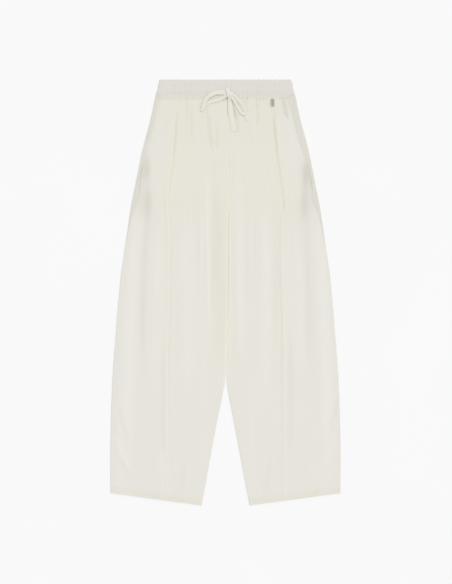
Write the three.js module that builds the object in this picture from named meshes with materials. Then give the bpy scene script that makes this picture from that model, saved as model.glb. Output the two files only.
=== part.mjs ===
import * as THREE from 'three';

// Cropped palazzo trousers lying on their back, front up, on a flat surface.
// Millimetres, +Z up, +Y towards the waist, +X towards the wearer's left.
// "down" is the distance from the top of the waistband towards the hem, and
// "out" is the distance from the middle of the garment towards a side.

// ---- driving sizes ------------------------------------------------------
const totalLength = 979;      // waistband top to the inner corner of the hem
const hemRise = 28.5;         // the hem's outer corner lies this much higher
const hemInner = 55;          // out, at the hem's inner corner
const hemOuter = 264.5;       // out, at the hem's outer corner
const bandHeight = 36;
const crotchDown = 286;
const seamGap = 0.3;          // between neighbouring pieces

const panelWall = 1.4;        // cloth of the legs
const gatheredWall = 2.3;     // the same cloth, bunched at the waist seam
const gatherReach = 28;       // how soon the bunching dies away
const panelAir = 1.4;         // between the front and the back legs
const gatheredAir = 0.5;
const mostAir = 3.6;          // under the highest fold
const leastAir = 0.35;

const bandWall = 3;           // two layers of cloth and the elastic
const bandAir = 0.4;
const bandStitch = 14.5;      // down, at the row of stitches between the channels
const bandGather = 0.7;       // height of a gather on the waistband
const gatherPitch = 8.3;
const gatherCount = 38;
const gatherSteps = 4;        // columns to one gather

const hemDepth = 13;          // turned up and stitched
const hemRaise = 0.35;        // the turned-up layer lifts the cloth

const pocket = { top: 190, bottom: 264, slit: 1.7, air: 0.9, reach: 46 };
const strip = { wall: 1, width: 11, overlap: 5.5, lift: 0.3, extra: 8 };

const tie = { width: 8, thickness: 1.8, lift: 0.5, steps: 24 };
const knot = { x: 6.6, down: 31.3, halfWidth: 5.3, halfHeight: 10.3, thickness: 5.4, lean: 0.28 };
const tab = { x: 108, down: 53.5, width: 8, length: 18, thickness: 1.2, bevel: 0.3, lift: 0.3 };

// ---- tables -------------------------------------------------------------
// Half width of the garment, edge to middle.
const outline = [
  { down: 0, half: 151.8 }, { down: 12, half: 154.2 }, { down: 24, half: 156.6 },
  { down: 36, half: 160.5 }, { down: 92, half: 172.5 }, { down: 162, half: 191 },
  { down: 231, half: 205 }, { down: 300, half: 218.5 }, { down: 369, half: 228.5 },
  { down: 438, half: 239 }, { down: 507, half: 246 }, { down: 599, half: 253.5 },
  { down: 691, half: 260 }, { down: 829, half: 264.5 }, { down: 979, half: 264.5 },
];

// Where the two halves meet, and how far apart the legs lie there. Its rows count
// from the waistband to the hem along the outer edge, as those of the panels do.
const middle = [
  { down: 0, x: 7.2, gap: seamGap }, { down: 200, x: 8.2, gap: seamGap },
  { down: 286, x: 7.2, gap: 0.4 }, { down: 520, x: 5.5, gap: 0.5 },
  { down: 620, x: 3.2, gap: 1.4 }, { down: 691, x: 0.9, gap: 2.8 },
  { down: 714, x: 0.3, gap: 9.8 }, { down: 829, x: -0.1, gap: 60.3 },
  { down: 950.5, x: 0.4, gap: 110.5 },
];

// How far each side seam lies forward of the edge, over the top of it.
const sideSeam = [
  { down: 36, right: 7, left: 11 }, { down: 92, right: 10, left: 17 },
  { down: 162, right: 9.5, left: 16 }, { down: 195, right: 7, left: 10.5 },
  { down: 222, right: 7.5, left: 7.5 }, { down: 254, right: 12.5, left: 11 },
  { down: 272, right: 15, left: 16 }, { down: 306, right: 8, left: 9 },
  { down: 345, right: 4, left: 4 }, { down: 400, right: 3, left: 3 },
  { down: 979, right: 3, left: 3 },
];

// The long pleat of each front, its line and its height.
const pleats = {
  right: [
    { down: 36, out: 108, height: 0.9 }, { down: 76, out: 111, height: 1.1 },
    { down: 180, out: 120.3, height: 1.0 }, { down: 258, out: 131.5, height: 0.8 },
    { down: 352, out: 130.6, height: 1.0 }, { down: 850, out: 130.6, height: 0.6 },
    { down: 979, out: 130, height: 0.3 },
  ],
  left: [
    { down: 36, out: 112, height: 0.9 }, { down: 95, out: 114.8, height: 1.1 },
    { down: 180, out: 123.5, height: 1.0 }, { down: 304, out: 139, height: 0.8 },
    { down: 449, out: 132, height: 1.0 }, { down: 771, out: 133.5, height: 0.7 },
    { down: 979, out: 134, height: 0.3 },
  ],
};
const pleatDrop = 2.5;        // width of the pleat's steep inner side
const pleatSlope = 24;        // width of its gentle outer side

// Folds of the fronts: out at the start, middle and end of each, height above the
// flat cloth (a trough is negative), and width on its inner and outer side.
const folds = {
  right: [
    { start: 255, end: 930, out: [203, 212, 228], height: 1.5, inner: 14, outer: 22 },
    { start: 215, end: 700, out: [170, 189, 189], height: -1.1, inner: 12, outer: 10 },
    { start: 330, end: 760, out: [160, 165, 170], height: 0.7, inner: 14, outer: 12 },
    { start: 250, end: 800, out: [93, 92, 90], height: 1.0, inner: 16, outer: 14 },
    { start: 300, end: 520, out: [65, 65, 64], height: -0.6, inner: 4, outer: 4 },
    { start: 290, end: 560, out: [49, 49, 48], height: -0.7, inner: 4, outer: 5 },
    { start: 180, end: 620, out: [42, 40, 36], height: 1.2, inner: 5, outer: 10 },
    { start: 240, end: 660, out: [14, 14, 12], height: -0.7, inner: 15, outer: 13 },
    { start: 200, end: 520, out: [25, 26, 25], height: -0.7, inner: 9, outer: 5 },
    { start: 580, end: 900, out: [145, 145, 144], height: -0.7, inner: 6, outer: 6 },
    { start: 740, end: 850, out: [252, 238, 222], height: -0.8, inner: 6, outer: 6 },
    { start: 830, end: 985, out: [152, 150, 148], height: 0.6, inner: 9, outer: 9 },
    { start: 810, end: 915, out: [256, 240, 210], height: 0.8, inner: 7, outer: 7 },
    { start: 44, end: 118, out: [91, 91, 91], height: -0.7, inner: 4, outer: 3 },
    { start: 44, end: 150, out: [79, 79, 79], height: -0.7, inner: 3, outer: 4 },
    { start: 60, end: 168, out: [43, 37, 30], height: -0.8, inner: 4, outer: 5 },
    { start: 105, end: 168, out: [22, 22, 22], height: -0.5, inner: 4, outer: 4 },
  ],
  left: [
    { start: 255, end: 940, out: [208, 222, 231], height: 1.4, inner: 14, outer: 20 },
    { start: 215, end: 700, out: [174, 189, 191], height: -1.0, inner: 12, outer: 10 },
    { start: 350, end: 740, out: [163, 165, 168], height: 0.6, inner: 12, outer: 12 },
    { start: 220, end: 800, out: [86, 89, 86], height: 1.0, inner: 16, outer: 14 },
    { start: 330, end: 640, out: [112, 113, 112], height: -0.8, inner: 8, outer: 6 },
    { start: 170, end: 700, out: [28, 30, 34], height: 1.0, inner: 10, outer: 9 },
    { start: 250, end: 560, out: [47, 47, 48], height: -0.5, inner: 5, outer: 7 },
    { start: 540, end: 900, out: [149, 150, 147], height: -0.9, inner: 7, outer: 8 },
    { start: 720, end: 840, out: [258, 245, 228], height: -0.8, inner: 6, outer: 6 },
    { start: 810, end: 905, out: [254, 236, 212], height: 0.8, inner: 7, outer: 7 },
    { start: 40, end: 116, out: [72, 73, 73], height: -0.6, inner: 4, outer: 3 },
    { start: 56, end: 140, out: [26, 25, 25], height: -0.8, inner: 6, outer: 6 },
    { start: 38, end: 96, out: [129, 135, 142], height: -0.9, inner: 4, outer: 5 },
  ],
};

// Dents beside and below the pocket mouths.
const dents = {
  right: [
    { down: 208, out: 179, depth: 1.3, along: 26, inner: 5, outer: 8 },
    { down: 283, out: 178, depth: 1.0, along: 32, inner: 6, outer: 9 },
  ],
  left: [
    { down: 221, out: 180, depth: 1.3, along: 28, inner: 6, outer: 8 },
    { down: 287, out: 178, depth: 0.9, along: 32, inner: 8, outer: 9 },
  ],
};

// Routes of the tie over the cloth: x, down, and the lift above it.
const tieRoutes = {
  loop_left: [
    [-1, 27.6, 1.4], [-10, 27.9, 1.8], [-19, 29.2, 2.2], [-30, 33.4, 2.6], [-39, 40.4, 2.8],
    [-46, 50.4, 3], [-51, 61.5, 2.9], [-54.4, 71, 2.4], [-55.6, 74.6, 1.2],
    [-54.6, 71.8, 0.1], [-51, 65.2, 0], [-45, 57.4, 0], [-36, 52, 0], [-24, 49.4, 0],
    [-12, 46, 0], [-4.4, 41.4, 0.2], [1.2, 37.6, 0.6],
  ],
  loop_right: [
    [14.8, 32.8, 2.6], [20.4, 37.2, 3], [28.4, 45.4, 3], [36.6, 55.2, 3], [43, 65.4, 3],
    [46.4, 75, 3], [44.4, 82, 3], [38.4, 80.6, 3], [32.8, 72.8, 3], [27, 62, 3.1],
    [20.8, 51, 3.6], [16, 43, 4],
  ],
  tail_centre: [
    [9.6, 43.6, 0.6], [10.1, 51, 0.2], [10.9, 61, 0], [12.2, 73, 0], [14.1, 85, 0],
    [16.6, 98, 0], [19, 110, 0], [21, 119.5, 0],
  ],
  tail_side: [
    [17.6, 41, 0], [23, 47, 0], [31, 58, 0], [38.5, 70.5, 0], [44.5, 83, 0], [49, 95.5, 0],
  ],
};

// ---- small maths --------------------------------------------------------
const clamp = (value, low, high) => Math.min(high, Math.max(low, value));
const smooth = (t) => { const c = clamp(t, 0, 1); return c * c * (3 - 2 * c); };
const bell = (t) => Math.exp(-t * t);
const wobble = (n, seed) => Math.sin(n * 2.399 + seed * 1.7) * Math.cos(n * 1.117 + seed);

// Smooth curve through one column of a table.
function along(rows, column, down) {
  const last = rows.length - 1;
  let i = 0;
  while (i < last - 1 && rows[i + 1].down < down) i += 1;
  const slope = (k) => {
    const a = rows[Math.max(k - 1, 0)];
    const b = rows[Math.min(k + 1, last)];
    return (b[column] - a[column]) / (b.down - a.down);
  };
  const span = rows[i + 1].down - rows[i].down;
  const t = clamp((down - rows[i].down) / span, 0, 1);
  const h = t * t * (3 - 2 * t);
  return rows[i][column] * (1 - h) + rows[i + 1][column] * h
    + span * (slope(i) * t * (1 - t) ** 2 - slope(i + 1) * t * t * (1 - t));
}

// ---- the garment's own sizes at a height --------------------------------
const sideSign = { right: -1, left: 1 };
const bunch = (down) => Math.exp(-Math.max(down - bandHeight, 0) / gatherReach);
const pocketSwell = (down) =>
  smooth((down - pocket.top + pocket.reach) / pocket.reach)
  * smooth((pocket.bottom + pocket.reach - down) / pocket.reach);
const wallAt = (down) => panelWall + (gatheredWall - panelWall) * bunch(down);
const airAt = (down) =>
  panelAir + (gatheredAir - panelAir) * bunch(down) + pocket.air * pocketSwell(down);
const thickAt = (down) => 2 * wallAt(down) + airAt(down);
const halfAt = (down) => along(outline, 'half', down);
const innerAt = (side, down) =>
  sideSign[side] * along(middle, 'x', down) + along(middle, 'gap', down) / 2;

// The hem slopes, so a row's down grows towards the inner leg near the hem.
const hemOuterDown = totalLength - hemRise;
const slopeStart = 690;
function rowDown(row, out) {
  const share = smooth((row - slopeStart) / (hemOuterDown - slopeStart));
  return row + share * hemRise * clamp((hemOuter - out) / (hemOuter - hemInner), 0, 1);
}

// ---- relief of the fronts -----------------------------------------------
function foldRelief(fold, out, down) {
  const length = fold.end - fold.start;
  const t = (down - fold.start) / length;
  if (t <= 0 || t >= 1) return 0;
  const [a, b, c] = fold.out;
  const line = a * (1 - t) * (1 - 2 * t) + 4 * b * t * (1 - t) + c * t * (2 * t - 1);
  const away = out - line;
  const ends = smooth(t / 0.3) * smooth((1 - t) / 0.3);
  return fold.height * ends * bell(away / (away < 0 ? fold.inner : fold.outer));
}

function pleatRelief(side, out, down) {
  const away = out - along(pleats[side], 'out', down);
  const height = along(pleats[side], 'height', down);
  return height * bell(away < 0 ? away / (pleatDrop / 2) : away / pleatSlope);
}

function dentRelief(dent, out, down) {
  const away = out - dent.out;
  return -dent.depth * bell((down - dent.down) / dent.along)
    * bell(away / (away < 0 ? dent.inner : dent.outer));
}

// Height of the front over its flat level, all folds together.
function relief(side, out, down, narrowest) {
  let height = 0;
  for (const dent of dents[side]) height += dentRelief(dent, out, down);
  for (const fold of folds[side]) {
    if (Math.min(fold.inner, fold.outer) >= narrowest) height += foldRelief(fold, out, down);
  }
  if (narrowest === 0) height += pleatRelief(side, out, down);
  const edge = smooth((halfAt(down) - thickAt(down) / 2 - out) / 14);
  const waist = smooth((down - bandHeight) / 26);
  const air = airAt(down);
  return clamp(height * edge * (0.35 + 0.65 * waist), leastAir - air, mostAir - air);
}

// Gathers below the waistband, each of its own length.
function gatherWave(x) {
  const phase = x / gatherPitch + 0.22 * Math.sin(x / 31) + 0.5;
  return 0.5 + 0.5 * Math.cos(2 * Math.PI * phase);
}
function gatherRelief(x, down) {
  const number = Math.round(x / gatherPitch);
  const reach = 15 + 9 * wobble(number, 1);
  return (0.75 + 0.25 * wobble(number, 2)) * gatherWave(x)
    * Math.exp(-Math.max(down - bandHeight, 0) / reach);
}

// ---- walls --------------------------------------------------------------
// Triangles between two rows of points that may differ in number.
function zip(triangles, first, second) {
  let i = 0;
  let j = 0;
  const m = first.length - 1;
  const n = second.length - 1;
  while (i < m || j < n) {
    if (j === n || (i < m && (i + 1) / m <= (j + 1) / n)) {
      triangles.push([first[i], first[i + 1], second[j]]);
      i += 1;
    } else {
      triangles.push([first[i], second[j + 1], second[j]]);
      j += 1;
    }
  }
}

// A closed wall: two skins, each a list of rows, joined round their rims.
function wallGeometry(outerRows, innerRows) {
  const points = [];
  const keep = (rows) => rows.map((row) => row.map((point) => points.push(point) - 1));
  const outer = keep(outerRows);
  const inner = keep(innerRows);
  const triangles = [];
  for (let k = 0; k + 1 < outer.length; k += 1) zip(triangles, outer[k], outer[k + 1]);
  for (let k = 0; k + 1 < inner.length; k += 1) zip(triangles, inner[k + 1], inner[k]);
  const firsts = (rows) => rows.map((row) => row[0]);
  const lasts = (rows) => rows.map((row) => row[row.length - 1]);
  zip(triangles, inner[0], outer[0]);
  zip(triangles, outer[outer.length - 1], inner[inner.length - 1]);
  zip(triangles, firsts(outer), firsts(inner));
  zip(triangles, lasts(inner), lasts(outer));
  return outwardGeometry(points, triangles);
}

// Turns the faces outwards, whichever way the rows ran.
function outwardGeometry(points, triangles) {
  let volume = 0;
  for (const [a, b, c] of triangles) volume += points[a].dot(points[b].clone().cross(points[c]));
  const faces = volume < 0 ? triangles.map(([a, b, c]) => [a, c, b]) : triangles;
  const geometry = new THREE.BufferGeometry();
  geometry.setAttribute('position', new THREE.Float32BufferAttribute(
    points.flatMap((point) => [point.x, point.y, point.z]), 3));
  geometry.setIndex(faces.flat());
  geometry.computeVertexNormals();
  return geometry;
}

const place = (side, out, down, z) =>
  new THREE.Vector3(sideSign[side] * out, totalLength / 2 - down, z);

// Steps from 0 to 1 with the ends left in.
const shares = (count) => Array.from({ length: count + 1 }, (_, i) => i / count);

// ---- section of one leg -------------------------------------------------
// The middle of the wall runs along the bottom, round the side edge and back
// over the top. "past" is the length past the end of the side arc, so it is
// negative on the arc and positive over the top.
function seamPast(side, down) {
  const radius = (thickAt(down) - wallAt(down)) / 2;
  const forward = along(sideSeam, side, down) - thickAt(down) / 2;
  return forward > 0 ? forward : Math.max(forward * 1.4, -Math.PI * radius / 2);
}

function sideArc(down, past) {
  const thick = thickAt(down);
  const radius = (thick - wallAt(down)) / 2;
  const centre = halfAt(down) - thick / 2;
  const angle = clamp(-past / radius, 0, Math.PI);
  return {
    out: centre - Math.max(past, 0) + radius * Math.sin(angle),
    z: thick / 2 + radius * Math.cos(angle),
    normal: [Math.sin(angle), Math.cos(angle)],
  };
}

// The inner leg edge curls to half height below the crotch.
function innerCurl(down) {
  return smooth((down - crotchDown) / 40) * Math.PI / 2;
}

function innerArc(side, down, share, up) {
  const thick = thickAt(down);
  const wall = wallAt(down);
  const most = innerCurl(down);
  const radius = (thick - wall) / 2 - seamGap / 2;
  const angle = most * share;
  const end = innerAt(side, down) + Math.sin(most) * wall / 2;
  return {
    out: end + radius * (Math.sin(most) - Math.sin(angle)) + (1 - share) * 0.8 * Math.cos(most),
    z: thick / 2 + up * ((thick - wall) / 2 - radius * (1 - Math.cos(angle))),
    normal: [-Math.sin(angle), up * Math.cos(angle)],
  };
}

// ---- fronts -------------------------------------------------------------
const arcSteps = 3;
const legRows = [
  { down: bandHeight + seamGap / 2, columns: 76 }, { down: 39, columns: 76 },
  { down: 44, columns: 76 }, { down: 52, columns: 60 }, { down: 64, columns: 44 },
  { down: 82, columns: 36 }, { down: 106, columns: 28 }, { down: 136, columns: 26 },
  { down: 166, columns: 26 }, { down: 190, columns: 26 }, { down: 202, columns: 26 },
  { down: 227, columns: 26 }, { down: 252, columns: 26 }, { down: 266, columns: 26 },
  { down: 286, columns: 26 }, { down: 306, columns: 26 }, { down: 326, columns: 26 },
  { down: 376, columns: 26 }, { down: 438, columns: 26 }, { down: 500, columns: 26 },
  { down: 562, columns: 26 }, { down: 626, columns: 26 }, { down: 691, columns: 26 },
  { down: 735, columns: 26 }, { down: 784, columns: 26 }, { down: 829, columns: 26 },
  { down: 880, columns: 26 }, { down: hemOuterDown - hemDepth - 1.5, columns: 26 },
  { down: hemOuterDown - hemDepth, columns: 26 }, { down: hemOuterDown, columns: 26 },
];
const liningSkips = [39, 52, 202, 252];   // rows that the plain inner skins leave out
const liningColumns = 18;
const liningRows = legRows
  .filter(({ down }) => !liningSkips.includes(down) && down !== hemOuterDown - hemDepth)
  .map(({ down }) => ({ down, columns: liningColumns }));

const pocketSlit = (down) => pocket.slit
  * smooth((down - pocket.top) / 12) * smooth((pocket.bottom - down) / 12);

const hemStep = (row) => hemRaise * smooth((row - hemOuterDown + hemDepth + 1.5) / 1.5);

// One row of a front's skin: the side edge, the cloth to the pleat, the pleat's
// steep side, the cloth to the inner leg, and the inner edge.
function frontSkinRow(side, row, columns, skin) {
  const down = row;
  const start = seamPast(side, down) + seamGap / 2 + pocketSlit(down);
  const sideEnd = sideArc(down, Math.max(start, 0) + 1).out;
  const innerStart = innerArc(side, down, 0, 1).out;
  const pleatLine = along(pleats[side], 'out', down);
  const flatColumns = columns - 2 * arcSteps - 1;
  const beyond = Math.round(flatColumns * 0.42);
  const samples = [];
  for (const share of shares(arcSteps)) {
    const past = start + share * (Math.max(start, 0) + 1 - start);
    samples.push(sideArc(down, past));
  }
  const flat = (out) => ({ out, z: thickAt(down) - wallAt(down) / 2, normal: [0, 1] });
  for (const share of shares(beyond).slice(1)) {
    samples.push(flat(sideEnd + share * (pleatLine - sideEnd)));
  }
  const drop = pleatLine - pleatDrop;
  for (const share of shares(flatColumns - beyond).slice(0, -1)) {
    samples.push(flat(drop + share * (innerStart - drop)));
  }
  for (const share of shares(arcSteps)) samples.push(innerArc(side, down, share, 1));
  return samples.map(({ out, z, normal }) => {
    const offset = skin * wallAt(down) / 2;
    const here = rowDown(row, out);
    const upward = Math.max(normal[1], 0);
    const lift = relief(side, out, here, skin > 0 ? 0 : 5) * (skin > 0 ? 1 : 0.85) * upward;
    const gather = skin > 0 ? gatherRelief(sideSign[side] * out, here) * upward : 0;
    const hem = skin > 0 ? hemStep(row) * upward : 0;
    return place(side, out + normal[0] * offset, here, z + normal[1] * offset + lift + gather + hem);
  });
}

function frontGeometry(side) {
  const outer = legRows.map(({ down, columns }) => frontSkinRow(side, down, columns, 1));
  const inner = liningRows.map(({ down, columns }) => frontSkinRow(side, down, columns, -1));
  return wallGeometry(outer, inner);
}

// ---- backs --------------------------------------------------------------
const backInnerSteps = 2;
const backFlatSteps = 2;
const backArcSteps = 4;

function backSkinRow(side, row, skin) {
  const down = row;
  const wall = wallAt(down);
  const radius = (thickAt(down) - wall) / 2;
  const end = seamPast(side, down) - seamGap / 2;
  const samples = shares(backInnerSteps).reverse().map((share) => innerArc(side, down, share, -1));
  const innerEnd = samples[samples.length - 1].out;
  const sideStart = sideArc(down, -Math.PI * radius).out;
  for (const share of shares(backFlatSteps).slice(1)) {
    samples.push({ out: innerEnd + share * (sideStart - innerEnd), z: wall / 2, normal: [0, -1] });
  }
  for (const share of shares(backArcSteps).slice(1)) {
    samples.push(sideArc(down, -Math.PI * radius + share * (Math.min(end, 0) + Math.PI * radius)));
  }
  samples.push(sideArc(down, Math.max(end, Math.min(end, 0) + 0.05)));
  return samples.map(({ out, z, normal }) => {
    const offset = skin * wall / 2;
    const here = rowDown(row, out);
    const lift = relief(side, out, here, 5) * Math.max(normal[1], 0);
    return place(side, out + normal[0] * offset, here, z + normal[1] * offset + lift);
  });
}

function backGeometry(side) {
  return wallGeometry(
    legRows.map(({ down }) => backSkinRow(side, down, 1)),
    liningRows.map(({ down }) => backSkinRow(side, down, -1)));
}

// ---- waistband ----------------------------------------------------------
const bandThick = 2 * bandWall + bandAir;
const bandBottom = bandHeight - seamGap / 2;
const ruffle = (x) => 0.9 * gatherWave(x) * (0.6 + 0.4 * wobble(Math.round(x / gatherPitch), 4));

// Height of the band's face: flat channels, a groove at the stitches, rounded rims.
function bandFace(x, down) {
  const channel = down < bandStitch ? (bandStitch - down) / bandStitch : (down - bandStitch) / 22;
  const gather = bandGather * gatherWave(x) * (0.45 + 0.55 * bell((channel - 0.45) / 0.5));
  const groove = 0.55 * bell((down - bandStitch) / 1.6);
  const topRim = 1.5 * (1 - smooth(down / 3)) ** 2;
  const bottomRim = 0.7 * (1 - smooth((bandBottom - down) / 4)) ** 2;
  return gather - groove - topRim - bottomRim;
}

function bandArc(down, share, up) {
  const radius = bandWall / 2 + bandAir / 2;
  const angle = share * Math.PI / 2;
  return {
    out: halfAt(down) - bandThick / 2 + radius * Math.sin(angle),
    z: bandThick / 2 + up * (seamGap / 2 + (radius - seamGap / 2) * Math.cos(angle)),
    normal: [Math.sin(angle), up * Math.cos(angle)],
  };
}

// One row of a waistband skin from one side edge to the other.
function bandSkinRow(down, columns, up, skin) {
  const half = halfAt(down) - bandThick / 2;
  const samples = shares(arcSteps).reverse().map((share) => bandArc(down, share, up));
  const run = [
    ...samples.map((s) => ({ x: -s.out, nx: -s.normal[0], z: s.z, nz: s.normal[1] })),
    ...shares(columns).slice(1, -1).map((share) => (
      { x: half * (2 * share - 1), nx: 0, z: bandThick / 2 + up * (bandThick - bandWall) / 2, nz: up })),
    ...samples.reverse().map((s) => ({ x: s.out, nx: s.normal[0], z: s.z, nz: s.normal[1] })),
  ];
  return run.map(({ x, nx, z, nz }) => {
    const offset = skin * bandWall / 2;
    const face = up > 0 && skin > 0 ? bandFace(x, down) * Math.abs(nz) : 0;
    const crest = ruffle(x) * (1 - smooth(down / 6)) * Math.abs(nz);
    return new THREE.Vector3(x + nx * offset, totalLength / 2 - down - crest, z + nz * offset + face);
  });
}

function bandGeometry(up) {
  const faceRows = up > 0
    ? [0, 2.5, bandStitch - 1.8, bandStitch, bandStitch + 1.8, 25, 32, bandBottom]
    : [0, 3, 12, bandBottom];
  const columns = up > 0 ? gatherCount * gatherSteps : gatherCount * 2;
  return wallGeometry(
    faceRows.map((down) => bandSkinRow(down, columns, up, 1)),
    [0, 6, bandBottom].map((down) => bandSkinRow(down, gatherCount, up, -1)));
}

// ---- pocket facings -----------------------------------------------------
// A strip just under the mouth, between the front and the back.
function facingGeometry(side) {
  const { wall, width, overlap, lift, extra } = strip;
  const downs = shares(6).map((share) =>
    pocket.top - extra + share * (pocket.bottom - pocket.top + 2 * extra));
  const skinRow = (down, z) => shares(3).map((share) => {
    const seam = sideArc(down, seamPast(side, down)).out;
    const edge = Math.min(seam + overlap, halfAt(down) - thickAt(down) / 2 - seamGap);
    return place(side, edge - share * width, down, wallAt(down) + lift + z);
  });
  return wallGeometry(downs.map((down) => skinRow(down, wall)), downs.map((down) => skinRow(down, 0)));
}

// ---- what lies on the front ---------------------------------------------
function faceHeight(x, down) {
  if (down < bandHeight) return bandThick + bandGather;
  const side = x < along(middle, 'x', down) ? 'right' : 'left';
  const out = sideSign[side] * x;
  return thickAt(down) + relief(side, out, down, 0) + gatherRelief(x, down);
}

// Highest cloth within a reach of a point.
function highestNear(x, down, reachX, reachDown) {
  let highest = 0;
  for (const dx of [-1, -0.5, 0, 0.5, 1]) {
    for (const dd of [-1, -0.5, 0, 0.5, 1]) {
      highest = Math.max(highest, faceHeight(x + dx * reachX, down + dd * reachDown));
    }
  }
  return highest;
}

// A route whose section keeps its width level, also where the tape turns back.
class LevelRoute extends THREE.CatmullRomCurve3 {
  computeFrenetFrames(segments) {
    const up = new THREE.Vector3(0, 0, 1);
    const tangents = shares(segments).map((share) => this.getTangentAt(share));
    const binormals = [];
    for (const tangent of tangents) {
      const before = binormals[binormals.length - 1];
      const level = new THREE.Vector3().crossVectors(up, tangent);
      if (before && level.dot(before) < 0) level.negate();
      if (before && level.length() < 0.35) {
        level.copy(before).addScaledVector(tangent, -before.dot(tangent));
      }
      binormals.push(level.normalize());
    }
    const normals = tangents.map((tangent, i) =>
      new THREE.Vector3().crossVectors(binormals[i], tangent).normalize());
    return { tangents, normals, binormals };
  }
}

function tieGeometry(route) {
  const points = route.map(([x, down, lift]) => new THREE.Vector3(
    x, totalLength / 2 - down,
    highestNear(x, down, tie.width / 2, tie.width / 2) + tie.lift + lift + tie.thickness / 2));
  const w = tie.width / 2;
  const t = tie.thickness / 2;
  const section = new THREE.Shape([
    [t, w - t], [t * 0.7, w - t * 0.3], [-t * 0.7, w - t * 0.3], [-t, w - t],
    [-t, t - w], [-t * 0.7, t * 0.3 - w], [t * 0.7, t * 0.3 - w], [t, t - w],
  ].map(([x, y]) => new THREE.Vector2(x, y)));
  return new THREE.ExtrudeGeometry(section, {
    steps: tie.steps, bevelEnabled: false, extrudePath: new LevelRoute(points),
  });
}

function knotGeometry() {
  const ball = new THREE.SphereGeometry(1, 14, 8);
  ball.scale(knot.halfWidth, knot.halfHeight, knot.thickness / 2);
  ball.rotateZ(knot.lean);
  return ball;
}

function tabGeometry() {
  const { width, length, thickness, bevel } = tab;
  const r = width / 2 - bevel;
  const pill = new THREE.Shape();
  pill.absarc(0, length / 2 - width / 2, r, 0, Math.PI);
  pill.absarc(0, width / 2 - length / 2, r, Math.PI, 2 * Math.PI);
  return new THREE.ExtrudeGeometry(pill, {
    depth: thickness - 2 * bevel, bevelThickness: bevel, bevelSize: bevel, bevelSegments: 1,
    curveSegments: 5,
  });
}

// ---- the scene graph ----------------------------------------------------
const cloth = new THREE.MeshStandardMaterial({ color: 0xe7e5dc, roughness: 0.85 });
const bandCloth = new THREE.MeshStandardMaterial({ color: 0xe0ddd5, roughness: 0.88 });
const tieCloth = new THREE.MeshStandardMaterial({ color: 0xe6e4db, roughness: 0.85 });
const darkMetal = new THREE.MeshStandardMaterial({ color: 0x8c8980, roughness: 0.4, metalness: 0.9 });

const trousers = new THREE.Group();
function add(name, geometry, material, x = 0, y = 0, z = 0) {
  const mesh = new THREE.Mesh(geometry, material);
  mesh.name = name;
  mesh.position.set(x, y, z);
  trousers.add(mesh);
}

for (const side of ['right', 'left']) {
  add(`front_${side}`, frontGeometry(side), cloth);
  add(`back_${side}`, backGeometry(side), cloth);
  add(`pocket_facing_${side}`, facingGeometry(side), cloth);
}
add('waistband_front', bandGeometry(1), bandCloth);
add('waistband_back', bandGeometry(-1), bandCloth);
for (const [name, route] of Object.entries(tieRoutes)) {
  add(`drawstring_${name}`, tieGeometry(route), tieCloth);
}
add('drawstring_knot', knotGeometry(), tieCloth,
  knot.x, totalLength / 2 - knot.down, bandThick + bandGather + tie.lift + knot.thickness / 2);
add('metal_tab', tabGeometry(), darkMetal, tab.x, totalLength / 2 - tab.down,
  highestNear(tab.x, tab.down, tab.width / 2, tab.length / 2) + tab.lift + tab.bevel);

export default trousers;
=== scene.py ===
import math

import bpy
import numpy as np
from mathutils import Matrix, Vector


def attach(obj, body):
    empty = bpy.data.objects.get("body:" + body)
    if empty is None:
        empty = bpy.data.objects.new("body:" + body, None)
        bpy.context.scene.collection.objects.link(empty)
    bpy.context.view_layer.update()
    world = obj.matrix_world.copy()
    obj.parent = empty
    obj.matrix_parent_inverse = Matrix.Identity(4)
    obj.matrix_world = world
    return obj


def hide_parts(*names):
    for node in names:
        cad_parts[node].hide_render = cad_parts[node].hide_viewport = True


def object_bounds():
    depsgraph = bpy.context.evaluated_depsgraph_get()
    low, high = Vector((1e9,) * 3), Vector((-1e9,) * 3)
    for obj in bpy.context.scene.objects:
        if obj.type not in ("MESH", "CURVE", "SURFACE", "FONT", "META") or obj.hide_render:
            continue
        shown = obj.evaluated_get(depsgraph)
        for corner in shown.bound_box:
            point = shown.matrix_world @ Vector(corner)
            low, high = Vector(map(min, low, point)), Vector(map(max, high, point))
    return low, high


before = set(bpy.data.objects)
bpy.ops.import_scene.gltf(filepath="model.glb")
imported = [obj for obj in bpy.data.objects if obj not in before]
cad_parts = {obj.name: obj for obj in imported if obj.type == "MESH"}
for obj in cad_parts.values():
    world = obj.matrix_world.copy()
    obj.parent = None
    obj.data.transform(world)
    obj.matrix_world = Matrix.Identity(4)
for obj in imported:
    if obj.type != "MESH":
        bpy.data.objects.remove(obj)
cadBounds = [list(corner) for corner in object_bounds()]

# Cropped palazzo trousers laid flat, front up, waist towards +Y.
# Sizes are in millimetres. "down" runs from the top of the waistband to the
# hem, "out" from the middle of the garment to a side edge.
mm = 0.001
sideSign = {"right": -1, "left": 1}

garment = {
    "length": round((cadBounds[1][1] - cadBounds[0][1]) / mm, 1),
    "hemRise": 28.5,       # outer hem corner over the inner one
    "hemInner": 55,
    "hemOuter": 264.5,
    "slopeStart": 690,     # where the rows begin to tilt towards the hem
    "crotch": 286,
    "seamGap": 0.03,
}
band = {
    "height": 36, "wall": 3, "air": 0.4, "stitch": 14.5, "gather": 0.45,
    "pitch": 8.3, "count": 38, "cloth": 0.8,
    "fine": 0.1, "groove": 0.22, "rim": 0.3, "ruffle": 0.9,
}
wall = {"plain": 1.4, "gathered": 2.3, "reach": 28}
air = {"plain": 1.4, "gathered": 0.5, "least": 0.35}
pocket = {"top": 190, "bottom": 264, "slit": 0.3, "air": 0.9, "reach": 46}
hem = {"depth": 13, "raise": 0.2, "groove": 0.07}
seam = {"side": 0.2, "sideWidth": 1.3, "centre": 0.35, "centreWidth": 1.4}    # how far seams pull in
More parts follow.
